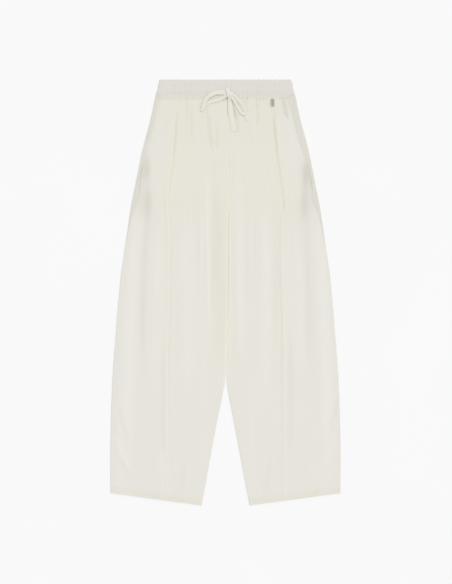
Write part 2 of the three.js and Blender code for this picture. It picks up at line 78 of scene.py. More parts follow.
gathers = {"reach": 17, "spread": 10, "lift": 0.75, "liftReach": 9, "edge": 10}
tape = {"width": 8, "thickness": 0.9, "lift": 0.1, "stack": 0.5, "pucker": 0.05, "waver": 0.025}

outline = {
    "down": [0, 12, 24, 36, 92, 162, 231, 300, 369, 438, 507, 599, 691, 829, 979],
    "half": [151.8, 154.2, 156.6, 160.5, 172.5, 191, 205, 218.5, 228.5, 239, 246,
             253.5, 260, 264.5, 264.5],
}
middle = {
    "down": [0, 200, 286, 520, 620, 691, 714, 829, 950.5],
    "x": [7.2, 8.2, 7.2, 5.5, 3.2, 0.9, 0.3, -0.1, 0.4],
    "gap": [0.03, 0.03, 0.2, 0.4, 1.4, 2.8, 9.8, 60.3, 110.5],
}
sideSeam = {
    "down": [36, 92, 162, 195, 222, 254, 272, 306, 345, 400, 979],
    "right": [7, 10, 9.5, 7, 7.5, 12.5, 15, 8, 3.5, 1.2, 1],
    "left": [11, 17, 16, 10.5, 7.5, 11, 16, 9, 3.5, 1.2, 1],
}
pleats = {
    "right": {
        "down": [36, 84, 139, 194, 249, 292, 352, 460, 560, 690, 850, 979],
        "out": [113, 116.8, 120.5, 126, 132.6, 134.5, 130.6, 131, 133.4, 135.6, 134, 134],
        "height": [0.8, 1.0, 1.0, 0.9, 0.8, 0.8, 1.0, 0.9, 0.8, 0.7, 0.6, 0.3],
    },
    "left": {
        "down": [36, 95, 180, 286, 312, 338, 366, 430, 500, 620, 771, 979],
        "out": [112, 114.8, 123.5, 137, 132.6, 127.6, 127.2, 128.2, 130.6, 132.8, 133, 134],
        "height": [0.9, 1.1, 1.0, 0.75, 0.35, 0.5, 0.6, 0.7, 0.75, 0.85, 0.7, 0.3],
    },
}
pleat = {"drop": 2.5, "slope": 24, "crease": 5, "creaseWidth": 2.6, "crestWidth": 2.4}

# start and end down the leg; out at the start, middle and end; height; inner and outer width
folds = {
    "right": [
        (255, 930, (206, 224, 229), 1.3, 14, 20),
        (215, 700, (170, 190, 190), -0.9, 8, 8),
        (330, 760, (160, 165, 170), 0.7, 14, 12),
        (250, 800, (93, 92, 90), 1.0, 16, 14),
        (300, 520, (65, 65, 64), -0.25, 4, 4),
        (290, 560, (49, 49, 48), -0.35, 4, 5),
        (180, 620, (42.5, 41, 36), 1.2, 3.6, 10),
        (120, 980, (56, 54, 50), 0.5, 12, 14),
        (240, 660, (14, 14, 12), -0.5, 15, 13),
        (200, 520, (25, 26, 25), -0.5, 9, 5),
        (580, 900, (145, 145, 144), -0.5, 6, 6),
        (740, 850, (252, 238, 222), -0.8, 6, 6),
        (830, 985, (152, 150, 148), 0.6, 9, 9),
        (810, 915, (256, 240, 210), 0.8, 7, 7),
        (40, 100, (91, 91, 91), -0.5, 4, 3),
        (44, 150, (79, 79, 79), -0.45, 3, 4),
        (60, 168, (43, 37, 30), -0.8, 4, 5),
        (105, 168, (22, 22, 22), -0.5, 4, 4),
    ],
    "left": [
        (255, 940, (208, 222, 231), 1.4, 14, 20),
        (215, 700, (174, 189, 191), -0.7, 12, 10),
        (350, 740, (163, 165, 168), 0.6, 12, 12),
        (220, 800, (86, 89, 86), 1.25, 15, 14),
        (330, 640, (112, 113, 112), -0.45, 8, 6),
        (170, 700, (28, 30, 34), 1.3, 10, 10),
        (150, 420, (60, 58, 56), 0.4, 10, 10),
        (620, 980, (58, 56, 54), 0.5, 12, 14),
        (250, 560, (47, 47, 48), -0.15, 5, 7),
        (540, 900, (147, 147, 145), -0.65, 7, 8),
        (720, 840, (258, 245, 228), -0.8, 6, 6),
        (810, 905, (254, 236, 212), 0.8, 7, 7),
        (40, 116, (72, 73, 73), -0.6, 4, 3),
        (56, 140, (26, 25, 25), -0.8, 6, 6),
        (38, 98, (129, 135, 142.5), -1.7, 4, 4),
    ],
}
# down, out, depth, length, inner and outer width
dents = {
    "right": [(208, 179, 1.3, 26, 5, 8), (283, 178, 1.0, 32, 6, 9)],
    "left": [(221, 180, 1.3, 28, 6, 8), (287, 178, 0.9, 32, 8, 9)],
}
# sharper creases of the cloth, in the same order as folds
creases = {
    "right": [
        (36, 100, (91, 91, 90.5), -0.4, 1.8, 1.8),
        (84, 160, (79, 79, 79), -0.25, 1.6, 1.8),
        (60, 100, (112, 111.5, 112), -0.5, 1.8, 1.8),
        (42, 94, (-5.2, -5.2, -5.2), -2.2, 1.4, 1.4),
        (40, 118, (43.5, 43.5, 43), -0.6, 2, 3),
        (110, 182, (42, 35, 26), -0.6, 2.2, 3),
        (172, 330, (30, 29, 29), -0.4, 4, 2.5),
        (96, 168, (20, 20, 20), -0.3, 2, 2),
        (260, 400, (80, 80.7, 80), 0.35, 2, 2),
        (270, 490, (57, 57, 60), 0.7, 4, 4),
        (205, 330, (141, 144, 143), -0.6, 5, 4),
        (255, 460, (143, 141, 141), -0.5, 4, 4),
        (320, 510, (157, 160, 163), 0.5, 4, 4),
        (310, 570, (31.5, 31.5, 29), -0.4, 4.5, 3.5),
        (225, 330, (161, 160, 158), 0.5, 6, 4),
        (225, 262, (184, 178, 170), 0.45, 3, 3),
        (840, 905, (239, 234, 224), 0.35, 4, 4),
        (870, 960, (96, 99, 104), -0.4, 6, 6),
        (905, 975, (70, 74, 82), 0.3, 8, 8),
    ],
    "left": [
        (38, 70, (71, 71, 71), -1.0, 1.8, 1.8),
        (44, 128, (71, 71.5, 71), -0.35, 1.8, 1.8),
        (34, 68, (47, 47, 47), -1.0, 2.2, 2.2),
        (38, 90, (141, 147, 153.5), -0.9, 2.6, 2.6),
        (58, 92, (151, 153, 156), -0.5, 2.2, 2.2),
        (222, 305, (88, 88.5, 89), -0.45, 1.8, 1.8),
        (270, 350, (131.6, 134.4, 136), -0.7, 2.6, 2.6),
        (60, 200, (60, 62, 62), 0.3, 4, 4),
        (130, 260, (104, 105, 106), 0.3, 3, 3),
        (290, 560, (54, 55, 55), 0.4, 5, 5),
        (300, 420, (62, 66, 66), -0.3, 3, 3),
        (320, 470, (157, 160.6, 164), 0.6, 4, 3.5),
        (150, 260, (26, 22, 20), 0.35, 3, 4),
        (860, 965, (100, 96, 92), -0.4, 7, 6),
        (900, 975, (150, 146, 140), 0.3, 8, 8),
    ],
}
fullness = {"folds": 1.15, "creases": 0.8}
# where the bow keeps the light off the left front
bowShadow = (38, 95, (11.8, 19.6, 23.4), 1.2, 3.2, 2.6)

# x, down, and lift over the cloth
tieRoutes = {
    "loop_left": [
        (4.6, 31.4, 1.4), (-1, 31, 1.6), (-10, 30.6, 1.8), (-19.6, 30.8, 2.2), (-28.2, 33.2, 2.4),
        (-35, 37, 2.5), (-41, 42, 2.5), (-46, 48.4, 2.5), (-49.8, 58, 2.4), (-53, 68, 2.3),
        (-54.6, 73.4, 1.2), (-54, 71.8, 0.1), (-51, 65.2, 0), (-45, 57.4, 0), (-36, 52, 0),
        (-24, 49.4, 0), (-12, 46, 0), (-4.4, 41.8, 0.6), (1.4, 38.4, 1.6), (6.4, 36, 1.8),
    ],
    "loop_right": [
        (9.4, 30, 2.2), (14.4, 33, 2.6), (20.4, 37.6, 2.6), (28.4, 45.8, 2.4), (36.6, 55.2, 2.4),
        (43, 65.4, 2.4), (46.4, 74, 2.4), (44.2, 80, 2.2), (38.2, 78.4, 1.4), (32.8, 71.4, 0.4),
        (27, 61.6, 0.4), (20.8, 51, 1.4), (15.6, 42.4, 2.6), (11.6, 37, 2.6),
    ],
    "tail_centre": [
        (9, 37.4, 4.6), (9.1, 42, 3.6), (9.4, 46.4, 1.6), (9.7, 51, 0.2), (10.4, 61, 0),
        (11.5, 73, 0), (13.5, 85, 0), (16, 98, 0), (17.6, 110, 0), (18.8, 119.5, 0),
    ],
    "tail_side": [
        (14, 36.6, 0), (19, 40.5, 0), (26, 47, 0), (35, 57.5, 0), (42, 69.5, 0), (47, 82, 0),
        (50.5, 94.5, 0),
    ],
}


# small maths

def smooth(t):
    t = np.clip(t, 0, 1)
    return t * t * (3 - 2 * t)


def rise(at, start, length):
    # 0 up to the start, 1 from the start plus the length
    return smooth((at - start) / length)


def fade(at, end, length):
    # 1 until the length before the end, 0 from the end
    return smooth((end - at) / length)


def bell(t):
    return np.exp(-t * t)


def wander(x, seed):
    # smooth and irregular, from -1 to 1
    return (0.5 * np.sin(x * 0.317 + seed) + 0.3 * np.sin(x * 0.713 + 2.1 * seed)
            + 0.2 * np.sin(x * 1.37 + 0.7 * seed))


def along(table, column, down):
    # smooth curve through one column of a table
    d = np.array(table["down"], float)
    c = np.array(table[column], float)
    slope = np.gradient(c)
    slope[1:-1] = (c[2:] - c[:-2]) / (d[2:] - d[:-2])
    slope[0] = (c[1] - c[0]) / (d[1] - d[0])
    slope[-1] = (c[-1] - c[-2]) / (d[-1] - d[-2])
    i = np.clip(np.searchsorted(d, down) - 1, 0, len(d) - 2)
    span = d[i + 1] - d[i]
    t = np.clip((down - d[i]) / span, 0, 1)
    h = t * t * (3 - 2 * t)
    bend = slope[i] * t * (1 - t) ** 2 - slope[i + 1] * t * t * (1 - t)
    return c[i] * (1 - h) + c[i + 1] * h + span * bend


# the garment's own sizes at a height

def bunch(down):
    return np.exp(-np.maximum(down - band["height"], 0) / wall["reach"])


def wallAt(down):
    return wall["plain"] + (wall["gathered"] - wall["plain"]) * bunch(down)


def airAt(down):
    reach = pocket["reach"]
    swell = rise(down, pocket["top"] - reach, reach) * fade(down, pocket["bottom"] + reach, reach)
    return air["plain"] + (air["gathered"] - air["plain"]) * bunch(down) + pocket["air"] * swell


def thickAt(down):
    return 2 * wallAt(down) + airAt(down)


def halfAt(down):
    return along(outline, "half", down)


def innerAt(side, down):
    return sideSign[side] * along(middle, "x", down) + along(middle, "gap", down) / 2


hemOuterDown = garment["length"] - garment["hemRise"]


def rowDown(row, out):
    # the hem slopes, so rows tilt near it
    start = garment["slopeStart"]
    share = rise(row, start, hemOuterDown - start)
    inner, outer = garment["hemInner"], garment["hemOuter"]
    return row + share * garment["hemRise"] * np.clip((outer - out) / (outer - inner), 0, 1)


# relief of the fronts

def foldRelief(fold, out, down):
    start, end, (a, b, c), height, inner, outer = fold
    t = np.clip((down - start) / (end - start), 0, 1)
    line = a * (1 - t) * (1 - 2 * t) + 4 * b * t * (1 - t) + c * t * (2 * t - 1)
    away = out - line
    ends = smooth(t / 0.3) * smooth((1 - t) / 0.3)
    return height * ends * bell(away / np.where(away < 0, inner, outer))


def dentRelief(dent, out, down):
    middleDown, middleOut, depth, length, inner, outer = dent
    away = out - middleOut
    across = bell(away / np.where(away < 0, inner, outer))
    return -depth * bell((down - middleDown) / length) * across


def pleatRelief(side, out, down):
    # a ridge with a gentle outer side, and a sharp crease at the foot of its steep inner side
    away = out - along(pleats[side], "out", down)
    height = along(pleats[side], "height", down)
    ridge = bell(np.where(away < 0, away / (pleat["drop"] / 2), away / pleat["slope"]))
    crest = 0.5 * rise(down, 260, 80) * bell(away / pleat["crestWidth"])
    deep = rise(down, 70, 40) * (0.3 + 0.7 * fade(down, 290, 90))
    return height * (ridge + crest - 0.6 * deep * bell((away + pleat["crease"]) / pleat["creaseWidth"]))


def broadRelief(side, out, down):
    height = 0
    for dent in dents[side]:
        height = height + dentRelief(dent, out, down)
    for fold in folds[side]:
        height = height + fullness["folds"] * foldRelief(fold, out, down)
    return height


def sharpRelief(side, out, down):
    height = pleatRelief(side, out, down)
    for fold in creases[side]:
        height = height + fullness["creases"] * foldRelief(fold, out, down)
    return height


def relief(side, out, down):
    height = broadRelief(side, out, down) + sharpRelief(side, out, down)
    edge = fade(out, halfAt(down) - thickAt(down) / 2, 14)
    waist = rise(down, band["height"], 26)
    height = height * edge * (0.35 + 0.65 * waist)
    return np.maximum(height, air["least"] - airAt(down))


def gatherWave(x):
    phase = x / band["pitch"] + 0.45 * wander(x / 4, 1)
    return 0.5 + 0.5 * np.cos(2 * np.pi * phase)


def gatherRelief(x, down):
    reach = gathers["reach"] + gathers["spread"] * wander(x / 2.5, 2)
    height = 0.62 + 0.38 * wander(x / 2, 3)
    return height * gatherWave(x) * np.exp(-np.maximum(down - band["height"], 0) / reach)


def topLift(out, down):
    # the gathered top of a front stands nearly as high as the band
    near = fade(down, band["height"] + gathers["liftReach"], gathers["liftReach"])
    return gathers["lift"] * near * fade(out, halfAt(down), gathers["edge"])


# section of one leg

def seamPast(side, down):
    # length past the end of the side arc, negative on the arc
    radius = (thickAt(down) - wallAt(down)) / 2
    forward = along(sideSeam, side, down) - thickAt(down) / 2
    return np.where(forward > 0, forward, np.maximum(forward * 1.4, -np.pi * radius / 2))


def sideArc(down, past):
    thick = thickAt(down)
    radius = (thick - wallAt(down)) / 2
    angle = np.clip(-past / radius, 0, np.pi)
    out = halfAt(down) - thick / 2 - np.maximum(past, 0) + radius * np.sin(angle)
    return out, thick / 2 + radius * np.cos(angle), np.sin(angle), np.cos(angle)


def innerArc(side, down, share, up):
    # the inner leg edge curls to half height below the crotch
    thick = thickAt(down)
    most = rise(down, garment["crotch"], 40) * np.pi / 2
    radius = (thick - wallAt(down)) / 2 - garment["seamGap"] / 2
    angle = most * share
    out = (innerAt(side, down) + np.sin(most) * wallAt(down) / 2
           + radius * (np.sin(most) - np.sin(angle)) + (1 - share) * 0.8 * np.cos(most))
    z = thick / 2 + up * ((thick - wallAt(down)) / 2 - radius * (1 - np.cos(angle)))
    return out, z, -np.sin(angle), up * np.cos(angle)


def stack(samples):
    # samples of (out, z, normal out, normal z), one per column, as arrays of rows by columns
    rows = np.broadcast_arrays(*[value for sample in samples for value in sample])
    return [np.stack(rows[k::4], axis=1) for k in range(4)]


print("sizes and tables ready")


# materials

class Wire:
    # one socket of a shader tree, with the usual operators
    def __init__(self, paint, socket):
        self.paint = paint
        self.socket = socket

    def maths(self, operation, *values):
        return self.paint.node("ShaderNodeMath", {"operation": operation}, dict(enumerate(values)))

    def __add__(self, other):
        return self.maths("ADD", self, other)

    __radd__ = __add__

    def __mul__(self, other):
        return self.maths("MULTIPLY", self, other)

    __rmul__ = __mul__

    def __sub__(self, other):
        return self.maths("SUBTRACT", self, other)

    def __rsub__(self, other):
        return self.maths("SUBTRACT", other, self)


class Paint:
    # one material; node() adds any node from its type, settings and socket values
    def __init__(self, name):
        self.material = bpy.data.materials.new(name)
        self.material.use_nodes = True
        self.tree = self.material.node_tree
        self.shader = self.tree.nodes["Principled BSDF"]

    def node(self, kind, settings=None, values=None, output=0):
        made = self.tree.nodes.new(kind)
        for name, value in (settings or {}).items():
            if name == "stops":
                ramp = made.color_ramp
                for stop, (place, colour) in enumerate(value):
                    if stop > 1:
                        ramp.elements.new(place)
                    ramp.elements[stop].position = place
                    ramp.elements[stop].color = colour
            else:
                setattr(made, name, value)
        for name, value in (values or {}).items():
            self.feed(made.inputs[name], value)
        return Wire(self, made.outputs[output])

    def feed(self, socket, value):
        if isinstance(value, Wire):
            self.tree.links.new(value.socket, socket)
        else:
            socket.default_value = value

    def set(self, **values):
        for name, value in values.items():
            self.feed(self.shader.inputs[name.replace("_", " ")], value)

    def place(self, scale=(1, 1, 1)):
        coordinates = self.node("ShaderNodeTexCoord", output=3)
        return self.node("ShaderNodeMapping", None, {"Vector": coordinates, "Scale": scale})

    def noise(self, place, scale, detail=2, roughness=0.5):
        return self.node("ShaderNodeTexNoise", None, {
            "Vector": place, "Scale": scale, "Detail": detail, "Roughness": roughness})

    def mix(self, factor, first, second, kind="MIX"):
        return self.node("ShaderNodeMix", {"data_type": "RGBA", "blend_type": kind},
                         {0: factor, 6: first, 7: second}, 2)

    def bump(self, height, strength, distance):
        return self.node("ShaderNodeBump", None, {
            "Height": height, "Strength": strength, "Distance": distance})


# crest tints the painted highlight, crease and dent the painted shade, warm the warmer tint
clothFinish = {
    "light": (0.835, 0.818, 0.752, 1), "deep": (0.79, 0.772, 0.704, 1),
    "crease": (0.86, 0.83, 0.73, 1), "dent": (0.82, 0.805, 0.785, 1),
    "crest": (1.05, 1.055, 1.07, 1), "warm": (1.03, 1.02, 0.93, 1),
    "roughness": 0.82, "sheen": 0.1, "grain": 900, "slub": 160, "warp": 260, "weft": 240,
    "relief": 0.0002,
}


def clothMaterial(name, finish, weave=0.3, toned=True):
    paint = Paint(name)
    place = paint.place()
    slub = paint.noise(paint.place((1, 0.1, 1)), finish["slub"], 3)
    cloud = paint.noise(place, 9, 2)
    grain = paint.noise(place, finish["grain"], 2, 0.6)
    warp, weft = [
        paint.node("ShaderNodeTexWave", {"bands_direction": direction}, {
            "Vector": place, "Scale": scale, "Distortion": 2.5, "Detail": 1, "Detail Scale": 4}, 1)
        for direction, scale in (("X", finish["warp"]), ("Y", finish["weft"]))]
    colour = paint.mix(slub * 0.45 + cloud * 0.35 + grain * 0.2, finish["deep"], finish["light"])
    if toned:
        # painted light and shade from the piece's attribute: red a painted highlight where the
        # cloth rises, green painted shade in creases, blue in hollows, alpha a warmer tint
        paintedShading = paint.node("ShaderNodeAttribute", {"attribute_name": "paintedShading"})
        parts = paint.node("ShaderNodeSeparateColor", None, {"Color": paintedShading}).socket.node.outputs
        parts = [*parts, paintedShading.socket.node.outputs["Alpha"]]
        for part, shade in zip(parts, ("crest", "crease", "dent", "warm")):
            tint = paint.mix(Wire(paint, part), (1, 1, 1, 1), finish[shade])
            colour = paint.mix(1, colour, tint, "MULTIPLY")
    paint.set(
        Base_Color=colour,
        Roughness=finish["roughness"] + (grain - 0.5) * 0.12,
        Sheen_Weight=finish["sheen"], Sheen_Roughness=0.4,
        Normal=paint.bump(warp * 0.35 + weft * 0.35 + grain * 0.6 + slub * 0.5, weave, finish["relief"]))
    return paint.material


metalFinish = {
    "deep": (0.4, 0.395, 0.365, 1), "light": (0.56, 0.55, 0.51, 1),
    "brushed": 2600, "wear": 420, "roughness": 0.3, "relief": 0.00005,
}


def metalMaterial(finish):
    paint = Paint("darkSatinMetal")
    brushed = paint.noise(paint.place((1, 0.06, 1)), finish["brushed"], 2)
    wear = paint.noise(paint.place(), finish["wear"], 3)
    paint.set(
        Base_Color=paint.mix(wear, finish["deep"], finish["light"]),
        Metallic=1.0, Roughness=finish["roughness"] + wear * 0.2,
        Normal=paint.bump(brushed, 0.15, finish["relief"]))
    return paint.material


floorFinish = {"deep": (0.14, 0.14, 0.14, 1), "light": (0.16, 0.16, 0.16, 1), "glow": 0.8}


def floorMaterial(finish):
    # lit from below as well, as a shadowless table is
    paint = Paint("paleFloor")
    haze = paint.noise(paint.place(), 3, 2)
    paint.set(
        Base_Color=paint.mix(haze, finish["deep"], finish["light"]),
        Emission_Color=(1, 1, 1, 1), Emission_Strength=finish["glow"],
        Roughness=0.9, Specular_IOR_Level=0.1)
    return paint.material


cloth = clothMaterial("ivoryCrepe", clothFinish)
# the waistband's cloth: a darker copy of the leg cloth, painted shade for its gathered casing
bandCloth = clothMaterial("shadedBandCrepe", {
    **clothFinish, "light": (0.78, 0.76, 0.705, 1), "deep": (0.735, 0.715, 0.66, 1)})
# the bow's tapes: a slightly lighter copy of the cloth, painted light
tieCloth = clothMaterial("foldedCrepe", {
    **clothFinish, "light": (0.842, 0.823, 0.74, 1), "deep": (0.8, 0.78, 0.695, 1)}, 0.3, False)
threadCloth = clothMaterial("ivoryThread", {
    **clothFinish, "light": (0.82, 0.802, 0.735, 1), "deep": (0.78, 0.76, 0.69, 1)}, 0.1, False)
metal = metalMaterial(metalFinish)
print("materials ready")


# making pieces

def deselect():
    if bpy.context.object and bpy.context.object.mode != "OBJECT":
        bpy.ops.object.mode_set(mode="OBJECT")
    bpy.ops.object.select_all(action="DESELECT")


def gridSheet(name, shape, paintedShading):
    # a grid primitive whose vertices move to the points of shape, rows by columns
    rows, columns = shape.shape[0] - 1, shape.shape[1] - 1
    deselect()
    bpy.ops.mesh.primitive_grid_add(x_subdivisions=columns, y_subdivisions=rows, size=1)
    piece = bpy.context.object
    piece.name = name
    points = np.empty(len(piece.data.vertices) * 3)
    piece.data.vertices.foreach_get("co", points)
    points = points.reshape(-1, 3)
    i = np.round((points[:, 0] + 0.5) * columns).astype(int)
    j = np.round((0.5 - points[:, 1]) * rows).astype(int)
    piece.data.vertices.foreach_set("co", (shape[j, i] * mm).astype(np.float32).ravel())
    paintLayer = piece.data.attributes.new("paintedShading", "FLOAT_COLOR", "POINT")
    paintLayer.data.foreach_set("color", paintedShading[j, i].astype(np.float32).ravel())
    piece.data.update()
    return piece


def finishPiece(piece, nodes, material, thickness=None, flip=False):
    bpy.context.view_layer.objects.active = piece
    piece.select_set(True)
    if flip:
        bpy.ops.object.mode_set(mode="EDIT")
        bpy.ops.mesh.select_all(action="SELECT")
        bpy.ops.mesh.flip_normals()
        bpy.ops.object.mode_set(mode="OBJECT")
    if thickness:
        shell = piece.modifiers.new("wall", "SOLIDIFY")
        shell.thickness = thickness * mm
        shell.offset = -1
        shell.use_even_offset = False
        bpy.ops.object.modifier_apply(modifier=shell.name)
    bpy.ops.object.shade_smooth_by_angle(angle=math.radians(50))
    piece.data.materials.clear()
    piece.data.materials.append(material)
    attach(piece, "root")
    if nodes:
        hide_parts(*nodes)
    deselect()
    return piece


def placed(side, out, down, z):
    return np.stack([sideSign[side] * out, garment["length"] / 2 - down, z], axis=-1)


def looksInward(piece, up):
    # whether the outermost face of a sheet (topmost for up 1, lowest for -1) has its back outside
    outermost = max(piece.data.polygons, key=lambda face: up * face.center.z)
    return outermost.normal.z * up < 0


# fronts

frontSheet = {
    "arc": 6, "beyond": 92, "drop": 6, "within": 92,
    "rows": [(36.06, 46, 14), (46, 90, 26), (90, 330, 62), (330, 928, 100)],
    "cloth": 1.0, "cutWidth": 300, "cutLength": 960, "cutArea": 0.225,
}
# how strongly each painted highlight or painted shade is laid on, from 0 to 1
shades = {
    "crest": 0.32, "trough": 0.24, "crease": 0.36, "foot": 0.34, "pocket": 0.52, "below": 0.37,
    "seat": 0.14, "gatherShade": 1.1, "rim": 0.3, "warmTop": 0.08, "outerHighlight": 0.2, "inseam": 0.45,
    "bow": 1.0, "hip": 0.2, "hem": 0.16, "backRim": 0.5,
}
# how strongly a warmer tint is painted: everywhere and more near the waist; with the painted
# shade at the pleats, by the bow and at the hem; with the painted highlight where the legs meet
warmth = {"all": 0.07, "waist": 0.2, "pleat": 0.16, "inseam": 0.65, "bow": 0.8, "hem": 0.12}


def rowList(spans, last):
    downs = [np.linspace(a, b, n, endpoint=False) for a, b, n in spans]
    return np.concatenate(downs + [last])


def hemRows():
    start = hemOuterDown - hem["depth"]
    return np.concatenate([
        np.linspace(928, start - 2.5, 3, endpoint=False),
        start + np.array([-2.5, -1.8, -1.2, -0.6, 0, 0.6, 1.2, 2, 4, 6.5, 9, 11, 12.2, 12.8, 13])])


def ripple(out, down, seed):
    # faint unevenness of cloth that lies loosely
    long = np.sin(out / 9.3 + 1.1 * np.sin(down / 83 + seed)) * np.sin(down / 131 + 2 * seed)
    broad = np.sin(out / 23 + 0.8 * np.sin(down / 117 + seed) + seed)
    short = np.sin(out / 4.7 + np.sin(down / 41)) * np.sin(down / 58 + seed)
    return 0.11 * long + 0.16 * broad + 0.035 * short


def hemShade(side, out, down):
    # painted shade along the hem and just above it: the hem is double cloth, so it lets less light
    # through
    aboveHem = rowDown(hemOuterDown, out) - down
    return fade(aboveHem, 21, 11) * (1 + 0.3 * wander(sideSign[side] * out / 6, 4))


# painted highlight on the crests of folds, towards each leg's outer side and where the legs meet
def paintedHighlights(side, out, down, broad, sharp):
    crests = np.maximum(broad + (0.15 + 0.45 * rise(down, 280, 80)) * sharp, 0)
    outerLit = rise(out / halfAt(down), 0.7, 0.25) * rise(down, 240, 80)
    # painted highlight: both edges catch the light where the legs meet
    inseam = bell((out - innerAt(side, down) - 2) / 2.6) * rise(down, 280, 60) * fade(down, 730, 40)
    inseam = inseam * (1 if side == "right" else 0.8)
    return shades["crest"] * crests + shades["outerHighlight"] * outerLit + shades["inseam"] * inseam


# painted shade in creases, at each pleat's foot, between the gathers and along the hem; darker near the
# waist
def paintedCreaseShade(side, out, down, sharp):
    x = sideSign[side] * out
    foot = bell((out - along(pleats[side], "out", down) + pleat["crease"]) / 2.4)
    foot = foot * rise(down, 70, 40) * (0.28 + 0.72 * fade(down, 195, 60)) * fade(down, 900, 300)
    gatherShade = (1 - gatherWave(x)) ** 2 * (0.5 + 0.5 * wander(x / 2, 7))
    gatherShade = gatherShade * bell((down - 45 - 3 * wander(x / 5, 2)) / 2.8)
    top = fade(down, 280, 220) * (1 - 0.7 * rise(out, 110, 20))
    return (shades["crease"] * np.maximum(-sharp, 0) + shades["foot"] * foot + shades["gatherShade"] * gatherShade
            + shades["warmTop"] * top + shades["hem"] * hemShade(side, out, down))


# painted shade in troughs, pocket dents, under the band, in the bow's shadow, at the hip and side edges
def paintedHollowShade(side, out, down, broad):
    hollow = shades["trough"] * np.maximum(-broad, 0)
    for (at, place, _, length, inner, outer), share in zip(dents[side], ("pocket", "below")):
        away = out - place - 7
        across = bell(away / np.where(away < 0, inner + 6, outer + 12))
        hollow = hollow + shades[share] * bell((down - at) / (length + 4)) * across
    hollow = hollow + shades["seat"] * fade(down, 48, 5)
    if side == "left":
        hollow = hollow + shades["bow"] * foldRelief(bowShadow, out, down)
        hollow = hollow + shades["hip"] * bell((out - 140) / 18) * bell((down - 55) / 28)
    rim = bell((halfAt(down) - out) / 14) * (1 - 0.6 * rise(down, 230, 80))
    return hollow + shades["rim"] * rim


# warmer tint near the waist; painted warm shade at pleats, bow and hem; painted warm light at the inseam
def paintedWarmTint(side, out, down):
    near = fade(out / halfAt(down), 0.9, 0.3) * fade(down, 800, 200)
    warm = near * (warmth["all"] + warmth["waist"] * fade(down, 410, 160))
    pleated = bell((out - along(pleats[side], "out", down) + 2) / 14)
    warm = warm + warmth["pleat"] * pleated * rise(down, 60, 60) * fade(down, 400, 100)
    inseam = bell((out - innerAt(side, down)) / 9) * rise(down, 230, 60) * fade(down, 700, 60)
    warm = warm + warmth["inseam"] * inseam + warmth["hem"] * hemShade(side, out, down)
    if side == "left":
        warm = warm + warmth["bow"] * foldRelief(bowShadow, out, down)
    return warm


# the four painted channels of a front: highlight, crease shade, hollow shade and warmer tint
def paintedFrontShading(side, out, down):
    broad = broadRelief(side, out, down)
    sharp = sharpRelief(side, out, down)
    paintedShading = np.broadcast_arrays(
        paintedHighlights(side, out, down, broad, sharp), paintedCreaseShade(side, out, down, sharp),
        paintedHollowShade(side, out, down, broad), paintedWarmTint(side, out, down))
    return np.clip(np.stack(paintedShading, axis=-1), 0, 1)


def sideGroove(side, out, down):
    away = halfAt(down) - out - along(sideSeam, side, down)
    return seam["side"] * bell(away / seam["sideWidth"])


def frontShape(side):
    row = rowList(frontSheet["rows"], hemRows())
    gap = garment["seamGap"]
    slit = pocket["slit"] * rise(row, pocket["top"], 12) * fade(row, pocket["bottom"], 12)
    start = seamPast(side, row) + gap / 2 + slit
    over = np.maximum(start, 0) + 1
    arcShares = np.linspace(0, 1, frontSheet["arc"] + 1)
    samples = [sideArc(row, start + s * (over - start)) for s in arcShares]
    sideEnd = samples[-1][0]
    innerStart = innerArc(side, row, 0, 1)[0]
    line = along(pleats[side], "out", row)
    top = thickAt(row) - wallAt(row) / 2
    drop = line - pleat["drop"] - pleat["crease"]
    spans = [(sideEnd, line, frontSheet["beyond"]), (line, drop, frontSheet["drop"]),
             (drop, innerStart, frontSheet["within"])]
    for first, last, count in spans:
        for s in np.linspace(0, 1, count + 1)[1:]:
            samples.append((first + s * (last - first), top, 0 * row, 0 * row + 1))
    samples.pop()
    samples += [innerArc(side, row, s, 1) for s in arcShares]
    out, z, nOut, nZ = stack(samples)
    rows = np.repeat(row[:, None], out.shape[1], axis=1)
    down = rowDown(rows, out)
    offset = wallAt(rows) / 2
    x = sideSign[side] * out
    away = rows - hemOuterDown + hem["depth"]
    loose = rise(down, 50, 60) * fade(out, halfAt(down), 16)
    centre = bell((out - innerAt(side, rows)) / seam["centreWidth"])
    lift = relief(side, out, down) + gatherRelief(x, down) + topLift(out, down)
    lift = lift + hem["raise"] * rise(away, -2, 3.5)
    lift = lift - hem["groove"] * bell(away / 1.1)         # the stitches pull the hem in
    lift = lift + ripple(out, down, sideSign[side] + 2) * loose
    lift = lift - sideGroove(side, out, down) * fade(down, 330, 40)
    lift = lift - seam["centre"] * centre * fade(down, garment["crotch"] + 10, 40)
    shape = placed(side, out + nOut * offset, down, z + nZ * offset + lift * np.maximum(nZ, 0))
    return shape, paintedFrontShading(side, out, down)


def makeFront(side):
    shape, paintedShading = frontShape(side)
    piece = gridSheet(f"front_panel_{side}", shape, paintedShading)
    finishPiece(piece, [f"front_{side}"], cloth, frontSheet["cloth"], looksInward(piece, 1))
    return piece


# backs

backSheet = {
    "inner": 5, "flat": 40, "arc": 9, "wrap": 8, "cloth": 1.0,
    "cutWidth": 320, "cutLength": 960, "cutArea": 0.235,
    "rows": [(36.06, 60, 10), (60, 330, 70), (330, 928, 100)],
}


